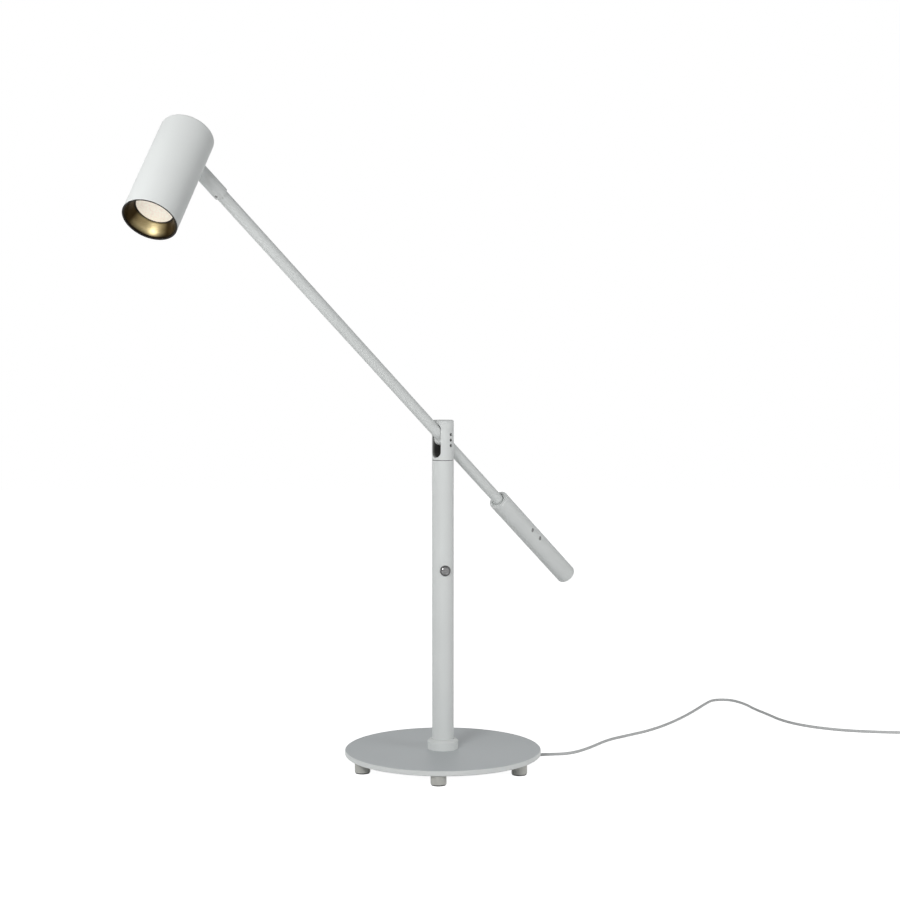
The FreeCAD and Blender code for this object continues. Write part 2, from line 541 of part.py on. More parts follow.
# ---------------------------------------------------------------- head
shade_cup = turned("shade_cup", [
    ("0", "Dims.shade_above"),
    ("Dims.shade_dia / 2", "Dims.shade_above"),
    ("Dims.shade_dia / 2", "-Dims.shade_below"),
    (SHADE_BORE, "-Dims.shade_below"),
    (SHADE_BORE, "Dims.shade_above - Dims.shade_wall"),
    ("0", "Dims.shade_above - Dims.shade_wall"),
])
soften(shade_cup, "Dims.shade_round", [("Dims.shade_dia / 2", "Dims.shade_above")])
WALL = "(Dims.shade_dia / 2)"
shade_hole = round_bar("shade_hole", "Dims.head_nipple_dia / 2", WALL, ("-" + WALL, "0", "0"), "X")
keep(cut("shade_drilled", shade_cup, [shade_hole]), "shade", HEAD_FRAME)

# The sleeve turns on the rod's end. Its outer end is coped to the shade's round wall.
SLEEVE_LOW = "(-" + WALL + " - Dims.sleeve_length)"
sleeve_bar = turned("sleeve_bar", [
    (SLEEVE_LOW, "Dims.rod_dia / 2 + Dims.running_gap"),
    (SLEEVE_LOW, "Dims.sleeve_dia / 2"),
    ("-" + WALL + " + Dims.sleeve_dia / 4", "Dims.sleeve_dia / 2"),
    ("-" + WALL + " + Dims.sleeve_dia / 4", "0"),
    (SLEEVE_LOW + " + Dims.sleeve_bore_deep", "0"),
    (SLEEVE_LOW + " + Dims.sleeve_bore_deep", "Dims.rod_dia / 2 + Dims.running_gap"),
], "H_Axis")
cope = round_bar("sleeve_cope", WALL, "4 * Dims.sleeve_dia", ("0", "0", "-2 * Dims.sleeve_dia"))
nipple_hole = round_bar("sleeve_nipple_hole", "Dims.head_nipple_dia / 2", "Dims.head_nipple_bite + Dims.sleeve_dia",
                        ("-" + WALL + " - Dims.head_nipple_bite", "0", "0"), "X")
SLEEVE_SCREW_X = "(" + SLEEVE_LOW + " + Dims.sleeve_screw_at)"
sleeve_screw_hole = round_bar("sleeve_screw_hole", "Dims.sleeve_screw_dia / 2", "Dims.sleeve_dia",
                              (SLEEVE_SCREW_X, "0", "-Dims.sleeve_dia"))
keep(cut("sleeve_cut", sleeve_bar, [cope, nipple_hole, sleeve_screw_hole]), "head_sleeve", HEAD_FRAME)
sleeve_screw_bar = round_bar("sleeve_screw_bar", "Dims.sleeve_screw_dia / 2", "Dims.sleeve_dia / 2 - 0.2",
                             (SLEEVE_SCREW_X, "0", "-Dims.sleeve_dia / 2 + 0.2"))
sleeve_screw_limit = round_bar("sleeve_screw_limit", "Dims.rod_dia / 2 + Dims.running_gap",
                               "2 * Dims.sleeve_dia", (SLEEVE_LOW + " - 5", "0", "0"), "X")
keep(cut("sleeve_screw_cut", sleeve_screw_bar, [sleeve_screw_limit]), "sleeve_screw", HEAD_FRAME)

NUT_FACE = "(" + SHADE_BORE + " - Dims.saddle_thick)"
keep(turned("head_nipple_tube", [
    ("-" + WALL + " - Dims.head_nipple_bite", "Dims.head_nipple_bore / 2"),
    ("-" + WALL + " - Dims.head_nipple_bite", "Dims.head_nipple_dia / 2"),
    ("-" + NUT_FACE + " + Dims.head_nut_thick", "Dims.head_nipple_dia / 2"),
    ("-" + NUT_FACE + " + Dims.head_nut_thick", "Dims.head_nipple_bore / 2"),
], "H_Axis"), "head_nipple", HEAD_FRAME)
saddle_bar = round_bar("saddle_bar", "Dims.saddle_dia / 2", WALL, ("-" + WALL, "0", "0"), "X")
saddle_outer = round_bar("saddle_outer", SHADE_BORE, "2 * Dims.saddle_dia", ("0", "0", "-Dims.saddle_dia"))
saddle_inner = doc.addObject("Part::Box", "saddle_inner")
saddle_inner.setExpression("Length", WALL)
saddle_inner.setExpression("Width", "2 * Dims.saddle_dia")
saddle_inner.setExpression("Height", "2 * Dims.saddle_dia")
saddle_inner.setExpression("Placement", at("-" + NUT_FACE, "-Dims.saddle_dia", "-Dims.saddle_dia"))
saddle_hole = round_bar("saddle_hole", "Dims.head_nipple_dia / 2", WALL, ("-" + WALL, "0", "0"), "X")
keep(cut("saddle_cut", common("saddle_blank", saddle_bar, saddle_outer), [saddle_inner, saddle_hole]),
     "saddle_washer", HEAD_FRAME)
keep(cut("head_nut_cut",
         hex_bar("head_nut_hex", "Dims.head_nut_flats", "Dims.head_nut_thick", ("-" + NUT_FACE, "0", "0"), "X"),
         [round_bar("head_nut_hole", "Dims.head_nipple_dia / 2", "Dims.head_nut_thick",
                    ("-" + NUT_FACE, "0", "0"), "X")]), "head_nut", HEAD_FRAME)

carrier_disc = round_bar("carrier_disc", SHADE_BORE, "Dims.carrier_thick", ("0", "0", "-" + CARRIER_LOW))
VENTS = 4
carrier_vents = [round_bar("carrier_vent_%d" % (i + 1), "4", "Dims.carrier_thick",
                           ("19.5 * cos(%d)" % angle, "19.5 * sin(%d)" % angle, "-" + CARRIER_LOW))
                 for i, angle in enumerate(45 + 360 // VENTS * k for k in range(VENTS))]
HOLDER_SPOTS = ["Dims.holder_screw_pitch / 2 * (%d)" % side for side in (-1, 1)]
carrier_holes = [round_bar("carrier_hole_%d" % (i + 1), "Dims.holder_screw_dia / 2", "Dims.carrier_thick",
                           (spot, "0", "-" + CARRIER_LOW)) for i, spot in enumerate(HOLDER_SPOTS)]
keep(cut("carrier_cut", carrier_disc, carrier_vents + carrier_holes), "holder_carrier", HEAD_FRAME)

holder_block = turned("holder_block", [
    ("0", "-" + CARRIER_LOW),
    ("Dims.holder_dia / 2 - 1.5", "-" + CARRIER_LOW),
    ("Dims.holder_dia / 2", "-" + CARRIER_LOW + " - 1.5"),
    ("Dims.holder_dia / 2", "-" + HOLDER_LOW),
    ("0", "-" + HOLDER_LOW),
])
PIN_SPOTS = ["Dims.lamp_pin_pitch / 2 * (%d)" % side for side in (-1, 1)]
holder_sockets = [round_bar("holder_socket_%d" % (i + 1), "Dims.lamp_pin_dia / 2 + Dims.lamp_pin_gap",
                            "Dims.lamp_pin_length + 1", ("0", spot, "-" + HOLDER_LOW))
                  for i, spot in enumerate(PIN_SPOTS)]
holder_threads = [round_bar("holder_thread_%d" % (i + 1), "Dims.holder_screw_dia / 2", "6",
                            (spot, "0", "-" + CARRIER_LOW + " - 6")) for i, spot in enumerate(HOLDER_SPOTS)]
keep(cut("holder_cut", holder_block, holder_sockets + holder_threads), "lampholder", HEAD_FRAME)


def holder_screw(name, spot):
    """A pan-headed screw through the carrier into the lampholder."""
    shank = round_bar(name + "_shank", "Dims.holder_screw_dia / 2", "Dims.carrier_thick + 6",
                      (spot, "0", "-" + CARRIER_LOW + " - 6"))
    head = round_bar(name + "_head", "Dims.holder_screw_dia * 0.9", "1.8", (spot, "0", "-Dims.carrier_drop"))
    return fused(name, [shank, head])


keep(separate("holder_screw_set", [holder_screw("holder_screw_%d" % (i + 1), spot)
                                   for i, spot in enumerate(HOLDER_SPOTS)]), "holder_screws", HEAD_FRAME)

LAMP = "Dims.lamp_dia / 2"
lamp_turned = turned("lamp_turned", [
    ("0", "-" + HOLDER_LOW),
    ("Dims.lamp_neck_dia / 2", "-" + HOLDER_LOW),
    ("Dims.lamp_neck_dia / 2", "-" + HOLDER_LOW + " - Dims.lamp_neck_tall"),
    ("Dims.lamp_neck_dia / 2 + 5", "-" + HOLDER_LOW + " - Dims.lamp_neck_tall - 7"),
    (LAMP + " - 2", "-" + LAMP_FACE + " + Dims.lamp_rim_tall + 4"),
    (LAMP, "-" + LAMP_FACE + " + Dims.lamp_rim_tall"),
    (LAMP, "-" + LAMP_FACE),
    ("Dims.lens_dia / 2", "-" + LAMP_FACE),
    ("Dims.lens_dia / 2", "-" + LAMP_FACE + " + Dims.lens_thick"),
    ("0", "-" + LAMP_FACE + " + Dims.lens_thick"),
])
keep(lamp_turned, "lamp_body", HEAD_FRAME)
keep(turned("lens_disc", [
    ("0", "-" + LAMP_FACE),
    ("Dims.lens_dia / 2", "-" + LAMP_FACE),
    ("Dims.lens_dia / 2", "-" + LAMP_FACE + " + Dims.lens_thick"),
    ("0", "-" + LAMP_FACE + " + Dims.lens_thick"),
]), "lamp_lens", HEAD_FRAME)
lamp_pins = [round_bar("lamp_pin_%d" % (i + 1), "Dims.lamp_pin_dia / 2", "Dims.lamp_pin_length",
                       ("0", spot, "-" + HOLDER_LOW)) for i, spot in enumerate(PIN_SPOTS)]
keep(separate("lamp_pin_set", lamp_pins), "lamp_pins", HEAD_FRAME)

# The brass ring holds the lamp by its rim and lines the mouth of the shade.
RING_LOW = "(Dims.shade_below - Dims.ring_inset)"
keep(turned("ring_liner", [
    (LAMP + " - Dims.ring_lip", "-" + LAMP_FACE),
    (SHADE_BORE, "-" + LAMP_FACE),
    (SHADE_BORE, "-" + RING_LOW),
    (SHADE_BORE + " - Dims.ring_wall", "-" + RING_LOW),
    (LAMP + " - Dims.ring_lip", "-" + LAMP_FACE + " - Dims.ring_lip_thick"),
]), "lamp_ring", HEAD_FRAME)

# ---------------------------------------------------------------- supply cord
# A flange each side of the cover's wall holds the relief, and its long tail tapers towards the cord.
RELIEF_IN = "(Dims.cover_dia / 2 - Dims.cover_wall - Dims.relief_gap)"
RELIEF_OUT = "(Dims.cover_dia / 2 + Dims.relief_gap)"
RELIEF_END = "(Dims.cover_dia / 2 + Dims.relief_length)"
keep(turned("relief_taper", [
    (RELIEF_IN + " - Dims.relief_flange", "Dims.cord_dia / 2"),
    (RELIEF_IN + " - Dims.relief_flange", "Dims.relief_big / 2"),
    (RELIEF_IN, "Dims.relief_big / 2"),
    (RELIEF_IN, "Dims.relief_neck / 2"),
    (RELIEF_OUT, "Dims.relief_neck / 2"),
    (RELIEF_OUT, "Dims.relief_big / 2"),
    (RELIEF_OUT + " + 2 * Dims.relief_flange", "Dims.relief_big / 2"),
    (RELIEF_END, "Dims.relief_small / 2"),
    (RELIEF_END, "Dims.cord_dia / 2"),
], "H_Axis"), "strain_relief", EXIT_FRAME)

# Chosen points of the cord from the strain relief to the coil, and from the coil to the plug.
EXIT_AT = value("Dims.cover_dia / 2 + Dims.relief_length - Dims.cord_in_relief")
EXIT_TURN = math.radians(value("Dims.cord_exit_angle"))
EXIT_LEVEL = value(RELIEF_Z)
FLOOR = value("Dims.cord_dia / 2")
LEAD_ROUTE = [(reach * math.cos(EXIT_TURN), reach * math.sin(EXIT_TURN), EXIT_LEVEL)
              for reach in (EXIT_AT, EXIT_AT + 29)]
LEAD_ROUTE += [
    (98.5, 31.8, FLOOR), (125.0, 38.0, FLOOR), (152.0, 41.0, FLOOR), (177.0, 70.0, FLOOR),
    (204.0, 117.0, FLOOR), (234.0, 144.0, FLOOR), (264.0, 173.0, FLOOR), (292.0, 212.0, FLOOR),
    (320.0, 261.0, FLOOR), (344.0, 311.0, FLOOR), (359.0, 344.0, FLOOR), (372.0, 368.0, FLOOR),
    (396.0, 369.0, FLOOR), (411.0, 342.0, FLOOR), (419.0, 304.0, FLOOR), (430.0, 272.0, FLOOR),
    (441.0, 233.0, FLOOR), (464.0, 199.0, FLOOR), (503.0, 173.0, FLOOR), (547.0, 162.0, FLOOR),
    (590.0, 157.5, FLOOR),
    (value("Dims.coil_x") - 3, value("Dims.coil_y") - value("Dims.coil_mid_dia / 2 + Dims.cord_dia"), FLOOR),
]
TAIL_X = value("Dims.coil_x + Dims.coil_mid_dia / 2 + Dims.cord_dia")
TAIL_ROUTE = [
    (TAIL_X, value("Dims.coil_y") + 4, FLOOR), (TAIL_X + 0.5, value("Dims.plug_y") - 30, FLOOR),
    (TAIL_X + 3.5, value("Dims.plug_y") - 13, 4.2),
    (TAIL_X + 4, value("Dims.plug_y") + 4, value("Dims.plug_thick / 2")),
]
LIMP = 0.45


def cord_path(name, points):
    """Straight runs joined by tangent arcs, each arc's radius set by the shorter run beside it."""
    spots = [FreeCAD.Vector(*point) for point in points]
    edges = []
    tightest = 1e9
    start = spots[0]
    for before, corner, after in zip(spots, spots[1:], spots[2:]):
        come = (corner - before).normalize()
        go = (after - corner).normalize()
        half = come.getAngle(go) / 2
        trim = LIMP * min((corner - before).Length, (after - corner).Length)
        radius = trim / math.tan(half)
        tightest = min(tightest, radius)
        first = corner - come * trim
        last = corner + go * trim
        middle = corner + (go - come).normalize() * (radius / math.cos(half) - radius)
        edges.append(Part.LineSegment(start, first).toShape())
        edges.append(Part.Arc(first, middle, last).toShape())
        start = last
    edges.append(Part.LineSegment(start, spots[-1]).toShape())
    path = doc.addObject("Part::Feature", name)
    path.Shape = Part.Wire(edges)
    print("%s: length %.1f mm, tightest radius %.1f mm" % (name, path.Shape.Length, tightest))
    return path


def cord_tube(name, label, points):
    """A round cord swept along its path."""
    path = cord_path(name + "_path", points)
    section = doc.addObject("Part::Circle", name + "_section")
    section.setExpression("Radius", "Dims.cord_dia / 2")
    way = FreeCAD.Vector(*points[1]) - FreeCAD.Vector(*points[0])
    section.Placement = FreeCAD.Placement(
        FreeCAD.Vector(*points[0]), FreeCAD.Rotation(FreeCAD.Vector(0, 0, 1), way))
    tube = doc.addObject("Part::Sweep", name)
    tube.Sections = [section]
    tube.Spine = (path, [])
    tube.Solid = True
    tube.Frenet = False
    doc.recompute()
    area = math.pi * value("Dims.cord_dia / 2") ** 2
    print("%s: volume %.0f of %.0f mm3" % (name, tube.Shape.Volume, area * path.Shape.Length))
    return keep(tube, label)


cord_tube("lead", "cord_lead", LEAD_ROUTE)
cord_tube("tail", "cord_tail", TAIL_ROUTE)

COIL_FRAME = "placement(vector(Dims.coil_x; Dims.coil_y; 0); rotation(0; 0; 0))"
COIL_IN = "(Dims.coil_mid_dia / 2 - Dims.coil_turns_across * Dims.cord_dia / 2)"
COIL_OUT = "(Dims.coil_mid_dia / 2 + Dims.coil_turns_across * Dims.cord_dia / 2)"
COIL_TOP = "(Dims.coil_turns_tall * Dims.cord_dia)"
coil = turned("coil_ring", [(COIL_IN, "0"), (COIL_OUT, "0"), (COIL_OUT, COIL_TOP), (COIL_IN, COIL_TOP)])
keep(soften(coil, "Dims.cord_dia / 2 - 0.2", [
    (COIL_IN, "0"), (COIL_OUT, "0"), (COIL_OUT, COIL_TOP), (COIL_IN, COIL_TOP),
]), "cord_coil", COIL_FRAME)

# The plug lies flat beside the coil with its two pins pointing away.
PLUG_FRAME = ("placement(vector(Dims.coil_x + Dims.coil_mid_dia / 2 + Dims.cord_dia + 4; Dims.plug_y; 0);"
              " rotation(0; 0; 0))")
plug = doc.addObject("PartDesign::Body", "plug_shell")
plug_plan = sketch_on(plug, "XY_Plane", "plug_plan")
outline(plug_plan, [
    ("-Dims.plug_back / 2", "0"), ("Dims.plug_back / 2", "0"),
    ("Dims.plug_wide / 2", "Dims.plug_body * 0.55"), ("Dims.plug_wide / 2", "Dims.plug_body"),
    ("-Dims.plug_wide / 2", "Dims.plug_body"), ("-Dims.plug_wide / 2", "Dims.plug_body * 0.55"),
])
plug_pad = doc.addObject("PartDesign::Pad", "plug_pad")
plug.addObject(plug_pad)
plug_pad.Profile = plug_plan
plug_pad.setExpression("Length", "Dims.plug_thick")
plug.Tip = plug_pad
doc.recompute()
plug_round = doc.addObject("PartDesign::Fillet", "plug_round")
plug.addObject(plug_round)
plug_round.Base = (plug_pad, ["Edge%d" % (i + 1) for i in range(len(plug_pad.Shape.Edges))])
plug_round.setExpression("Radius", "Dims.plug_round")
plug.Tip = plug_round
keep(plug, "plug_body", PLUG_FRAME)
plug_pins = [round_bar("plug_pin_%d" % (i + 1), "Dims.pin_dia / 2", "Dims.pin_length",
                       ("Dims.pin_pitch / 2 * (%d)" % side, "Dims.plug_body", "Dims.plug_thick / 2"), "Y")
             for i, side in enumerate((-1, 1))]
keep(separate("plug_pin_set", plug_pins), "plug_pins", PLUG_FRAME)

# ---------------------------------------------------------------- check and write
doc.recompute()
for item in doc.Objects:
    if "Invalid" in item.State or "Error" in item.State:
        raise RuntimeError("%s did not build: %s" % (item.Label, item.State))
os.makedirs("parts", exist_ok=True)
for label, piece in NODES:
    if piece.Shape.isNull() or not piece.Shape.isValid() or not piece.Shape.Solids:
        raise RuntimeError("%s has no sound solid" % label)
    piece.Shape.exportStep("parts/%s.step" % label)
    box = piece.Shape.BoundBox
    print("%-18s %2d solid(s) %10.1f mm3  z %7.2f to %7.2f" % (
        label, len(piece.Shape.Solids), piece.Shape.Volume, box.ZMin, box.ZMax))
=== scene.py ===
# %% [markdown]
# # Dressing a counterweight balance desk lamp
# The solid model is read from model.glb, and nothing here moves or resizes it. This notebook gives every
# surface its finish, lays the supply cord as one smooth curve, and sets the lights and the camera.

# %% Load the model
import bpy
import math
from mathutils import Euler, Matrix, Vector


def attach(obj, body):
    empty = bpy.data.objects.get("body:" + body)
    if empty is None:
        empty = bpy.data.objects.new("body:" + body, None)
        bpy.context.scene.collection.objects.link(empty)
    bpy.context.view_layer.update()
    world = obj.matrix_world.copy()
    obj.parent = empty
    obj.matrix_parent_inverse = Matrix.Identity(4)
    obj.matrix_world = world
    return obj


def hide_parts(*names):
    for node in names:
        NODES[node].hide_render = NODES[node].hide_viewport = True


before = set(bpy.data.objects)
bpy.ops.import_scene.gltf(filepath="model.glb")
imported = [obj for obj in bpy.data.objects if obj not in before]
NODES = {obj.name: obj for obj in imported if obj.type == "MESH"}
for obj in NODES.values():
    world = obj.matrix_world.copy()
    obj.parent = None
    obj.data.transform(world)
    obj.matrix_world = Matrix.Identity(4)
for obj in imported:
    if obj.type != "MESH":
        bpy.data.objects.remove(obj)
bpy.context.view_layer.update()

# %% [markdown]
# ## The camera
# A camera could be placed by eye, but then the lamp's proportions would drift. This one was fitted to
# the outline of the base, the post and the arm as a pinhole camera. The lens comes from the fitted
# focal length: image widths times the sensor's width. The eye stands 2.07 m in front of the post, a
# little above the middle of the lamp, and looks slightly down.

# %% Camera
FOCAL_IMAGE_WIDTHS = 1.9787
SENSOR = 36.0
EYE = (0.0083, -2.0709, 0.4890)
LOOK_DOWN = math.radians(3.313)
IMAGE_SIDE = 900

scene = bpy.context.scene
camera_data = bpy.data.cameras.new("camera")
camera_data.sensor_width = SENSOR
camera_data.lens = FOCAL_IMAGE_WIDTHS * SENSOR
camera = bpy.data.objects.new("camera", camera_data)
scene.collection.objects.link(camera)
camera.location = EYE
camera.rotation_euler = (math.pi / 2 - LOOK_DOWN, 0, 0)
scene.camera = camera
scene.render.resolution_x = IMAGE_SIDE
scene.render.resolution_y = IMAGE_SIDE
scene.view_settings.view_transform = "Standard"
print("lens", round(camera_data.lens, 2), "mm")

# %% [markdown]
# ## Where the supply cord runs
# The cord leaves its strain relief under the plate, drops to the table and wanders off to the right.
# A cord could be a chain of cylinders, but a curve bends smoothly and needs few points. As far as the
# coil it follows listed points. From the third one on they are at the height of a cord that
# lies on the table.

# %% The cord's lead
CORD_DIAMETER = 0.0035
ON_TABLE = CORD_DIAMETER / 2
EXIT_HEIGHT = 0.0081
LEAD = [
    (0.0420, 0.0132, EXIT_HEIGHT), (0.0696, 0.0220, EXIT_HEIGHT), (0.0985, 0.0318, ON_TABLE),
    (0.1250, 0.0380, ON_TABLE), (0.1520, 0.0410, ON_TABLE), (0.1770, 0.0700, ON_TABLE),
    (0.2040, 0.1170, ON_TABLE), (0.2340, 0.1440, ON_TABLE), (0.2640, 0.1730, ON_TABLE),
    (0.2920, 0.2120, ON_TABLE), (0.3200, 0.2610, ON_TABLE), (0.3440, 0.3110, ON_TABLE),
    (0.3590, 0.3440, ON_TABLE), (0.3720, 0.3680, ON_TABLE), (0.3960, 0.3690, ON_TABLE),
    (0.4110, 0.3420, ON_TABLE), (0.4190, 0.3040, ON_TABLE), (0.4300, 0.2720, ON_TABLE),
    (0.4410, 0.2330, ON_TABLE), (0.4640, 0.1990, ON_TABLE), (0.5030, 0.1730, ON_TABLE),
    (0.5470, 0.1620, ON_TABLE), (0.5900, 0.1575, ON_TABLE),
]
print("lead of", len(LEAD), "points")

# %% [markdown]
# ## The coil that is put away
# The length that the view doesn't take in is wound into a neat coil. Its turns are worked out by a
# loop: three turns inwards, three outwards on top of them, and the rest above. At the end of each
# layer the cord climbs onto the next one. A curve of order 3 touches the middle of each side of its
# control polygon, so the points lie a little outside the wanted radius.

# %% The cord's coil
COIL_CENTRE = (0.618, 0.180)
COIL_MEAN_RADIUS = 0.01925
TURNS = 7.25
TURNS_ACROSS = 3
POINTS_PER_TURN = 16
CLIMB_START = 0.86
PLUG_Y = 0.232
PLUG_HEIGHT = 0.0068


def coil_point(turn):
    """The coil's centre line after so many turns, anticlockwise from the side nearest the viewer."""
    layer = int(turn // TURNS_ACROSS)
    along = turn / TURNS_ACROSS - layer
    inwards = layer % 2 == 0
    outer = COIL_MEAN_RADIUS + (TURNS_ACROSS - 1) / 2 * CORD_DIAMETER
    step = (TURNS_ACROSS - 1) * CORD_DIAMETER
    radius = outer - step * (along if inwards else 1 - along)
    rise = min(1.0, max(0.0, (along - CLIMB_START) / (1 - CLIMB_START)))
    height = ON_TABLE + CORD_DIAMETER * (layer + rise * rise * (3 - 2 * rise))
    reach = radius / math.cos(math.pi / POINTS_PER_TURN)
    angle = 2 * math.pi * turn - math.pi / 2
    return (COIL_CENTRE[0] + reach * math.cos(angle), COIL_CENTRE[1] + reach * math.sin(angle), height)


coil_line = [coil_point(i / POINTS_PER_TURN) for i in range(int(TURNS * POINTS_PER_TURN) + 1)]
tail_x = COIL_CENTRE[0] + COIL_MEAN_RADIUS + CORD_DIAMETER
TAIL = [
    (tail_x, COIL_CENTRE[1] + 0.010, 0.0075), (tail_x + 0.0005, COIL_CENTRE[1] + 0.018, ON_TABLE),
    (tail_x + 0.0020, PLUG_Y - 0.022, ON_TABLE), (tail_x + 0.0035, PLUG_Y - 0.011, 0.0045),
    (tail_x + 0.0040, PLUG_Y + 0.004, PLUG_HEIGHT),
]
print("coil of", len(coil_line), "points, tail of", len(TAIL))

# %% [markdown]
# ## The cord itself
# The real cord is a round grey sheath. A mesh could be swept along the line, but a curve object with a
# bevel is round by itself and stays easy to change. The thickness is kept at the points and not in the
# bevel, because then Blender works out the curve's box with the right margin. This one cord stands for
# the three cord pieces of the solid model.

# %% Cord
def nurbs_tube(name, line, thickness):
    """A round tube along one open NURBS curve, with closed ends."""
    data = bpy.data.curves.new(name, "CURVE")
    data.dimensions = "3D"
    data.bevel_depth = 1.0
    data.bevel_resolution = 5
    data.use_fill_caps = True
    spline = data.splines.new("NURBS")
    spline.points.add(len(line) - 1)
    for point, spot in zip(spline.points, line):
        point.co = (*spot, 1.0)
        point.radius = thickness / 2
    spline.order_u = 3
    spline.use_endpoint_u = True
    spline.resolution_u = 8
    piece = bpy.data.objects.new(name, data)
    scene.collection.objects.link(piece)
    return piece


cord = nurbs_tube("supply_cord", LEAD + coil_line + TAIL, CORD_DIAMETER)
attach(cord, "stand")
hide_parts("cord_lead", "cord_coil", "cord_tail")
print("cord of", len(cord.data.splines[0].points), "points")

# %% [markdown]
# ## Shared effects
# Two effects appear in several finishes: the fine dimpled skin of powder coat, and the fine uneven
# streaks that a lathe leaves. They could be built again in each material, but a node group is built
# once and placed with its own scale and depth. Each group puts out a mask and a normal, and each
# material mixes them into its own shader.

# %% Parts of an effect
def effect_group(name, mask, scale, depth):
    """A new node group with the inputs Scale and Depth, and the outputs Normal and a named mask."""
    group = bpy.data.node_groups.new(name, "ShaderNodeTree")
    for label, default in (("Scale", scale), ("Depth", depth)):
        socket = group.interface.new_socket(label, in_out="INPUT", socket_type="NodeSocketFloat")
        socket.default_value = default
    group.interface.new_socket(mask, in_out="OUTPUT", socket_type="NodeSocketFloat")
    group.interface.new_socket("Normal", in_out="OUTPUT", socket_type="NodeSocketVector")
    return group, group.nodes.new("NodeGroupInput"), group.nodes.new("NodeGroupOutput")


def raised_by(group, entry, out, noise, height):
    """Turn a noise into the group's Normal, with the group's own Scale and Depth."""
    bump = group.nodes.new("ShaderNodeBump")
    bump.inputs["Distance"].default_value = height
    group.links.new(entry.outputs["Scale"], noise.inputs["Scale"])
    group.links.new(entry.outputs["Depth"], bump.inputs["Strength"])
    group.links.new(noise.outputs["Fac"], bump.inputs["Height"])
    group.links.new(bump.outputs["Normal"], out.inputs["Normal"])


# %% [markdown]
# ## Powder coat's skin
# Baked powder leaves a surface of very fine dimples. An image could hold them, but a noise needs no
# unwrapping and has no seams. A second, slow noise gives slight changes of tone over the lamp.

# %% Coat skin
DIMPLE_HEIGHT = 0.0002
SLOW_TONE_SCALE = 9.0


def coat_skin():
    """Powder coat: fine dimples, and a mask called Tone that changes slowly."""
    group, entry, out = effect_group("coat_skin", "Tone", 900.0, 0.12)
    place = group.nodes.new("ShaderNodeTexCoord")
    fine = group.nodes.new("ShaderNodeTexNoise")
    fine.inputs["Detail"].default_value = 3.0
    slow = group.nodes.new("ShaderNodeTexNoise")
    slow.inputs["Scale"].default_value = SLOW_TONE_SCALE
    group.links.new(place.outputs["Object"], fine.inputs["Vector"])
    group.links.new(place.outputs["Object"], slow.inputs["Vector"])
    group.links.new(slow.outputs["Fac"], out.inputs["Tone"])
    raised_by(group, entry, out, fine, DIMPLE_HEIGHT)
    return group


COAT = coat_skin()
print("node group:", COAT.name)

# %% [markdown]
# ## Turned metal
# A lathe leaves fine streaks on screws, nuts and rings. A noise that is squeezed along one direction
# draws them at little cost, and the same mask varies the colour and the shine.

# %% Lathe rings
STREAK_HEIGHT = 0.0001
STREAK_SQUEEZE = (1.0, 1.0, 14.0)


def lathe_rings():
    """Turned metal: fine uneven streaks, whose mask is called Streak."""
    group, entry, out = effect_group("lathe_rings", "Streak", 260.0, 0.15)
    place = group.nodes.new("ShaderNodeTexCoord")
    squeeze = group.nodes.new("ShaderNodeMapping")
    squeeze.inputs["Scale"].default_value = STREAK_SQUEEZE
    noise = group.nodes.new("ShaderNodeTexNoise")
    noise.inputs["Detail"].default_value = 4.0
    group.links.new(place.outputs["Object"], squeeze.inputs["Vector"])
    group.links.new(squeeze.outputs["Vector"], noise.inputs["Vector"])
    group.links.new(noise.outputs["Fac"], out.inputs["Streak"])
    raised_by(group, entry, out, noise, STREAK_HEIGHT)
    return group


RINGS = lathe_rings()
print("node group:", RINGS.name)

# %% [markdown]
# ## Finishes
# One short function makes each finish. A plain colour would be quicker, but it shows no change from
# place to place. The effect's mask runs the base colour from a dark to a light value, and shifts the
# roughness a little, which stops a surface looking like flat plastic.

# %% A finish
ROUGHNESS_SPREAD = 0.04
DARK_AND_LIGHT_AT = (0.3, 0.7)


def blend(tree, value, start=0.0, end=1.0, low=0.0, high=1.0, smooth=False):
    """One Map Range node: low where the value is at start, high where it is at end."""
    node = tree.nodes.new("ShaderNodeMapRange")
    node.interpolation_type = "SMOOTHSTEP" if smooth else "LINEAR"
    for label, number in (("From Min", start), ("From Max", end), ("To Min", low), ("To Max", high)):
        node.inputs[label].default_value = number
    tree.links.new(value, node.inputs["Value"])
    return node.outputs["Result"]


def finish(name, dark, light, roughness, group, metallic=0.0, scale=None, depth=None, gloss=0.5):
    """A principled finish whose colour runs from dark to light with the effect's mask."""
    material = bpy.data.materials.new(name)
    material.use_nodes = True
    tree = material.node_tree
    shader = tree.nodes["Principled BSDF"]
    effect = tree.nodes.new("ShaderNodeGroup")
    effect.node_tree = group
    if scale is not None:
        effect.inputs["Scale"].default_value = scale
    if depth is not None:
        effect.inputs["Depth"].default_value = depth
    mask = effect.outputs[0]
    ramp = tree.nodes.new("ShaderNodeValToRGB")
    for stop, position, colour in zip(ramp.color_ramp.elements, DARK_AND_LIGHT_AT, (dark, light)):
        stop.position = position
        stop.color = (*colour, 1.0)
    rough = blend(tree, mask, low=roughness - ROUGHNESS_SPREAD, high=roughness + ROUGHNESS_SPREAD)
    tree.links.new(mask, ramp.inputs["Fac"])
    tree.links.new(ramp.outputs["Color"], shader.inputs["Base Color"])
    tree.links.new(rough, shader.inputs["Roughness"])
    tree.links.new(effect.outputs["Normal"], shader.inputs["Normal"])
    shader.inputs["Metallic"].default_value = metallic
    shader.inputs["Specular IOR Level"].default_value = gloss
    return material


# %% [markdown]
# ## Metals
# The bolts and nuts are zinc plated, the plug's pins nickel plated, and the lamp's pins brass. The
# switch's bezel and button are polished nickel that mirrors a dark room, so their own colour is dark
# here: the white floor would otherwise turn them white. The small screws of the cheek are blackened,
# and the grub screws are plain grey steel.

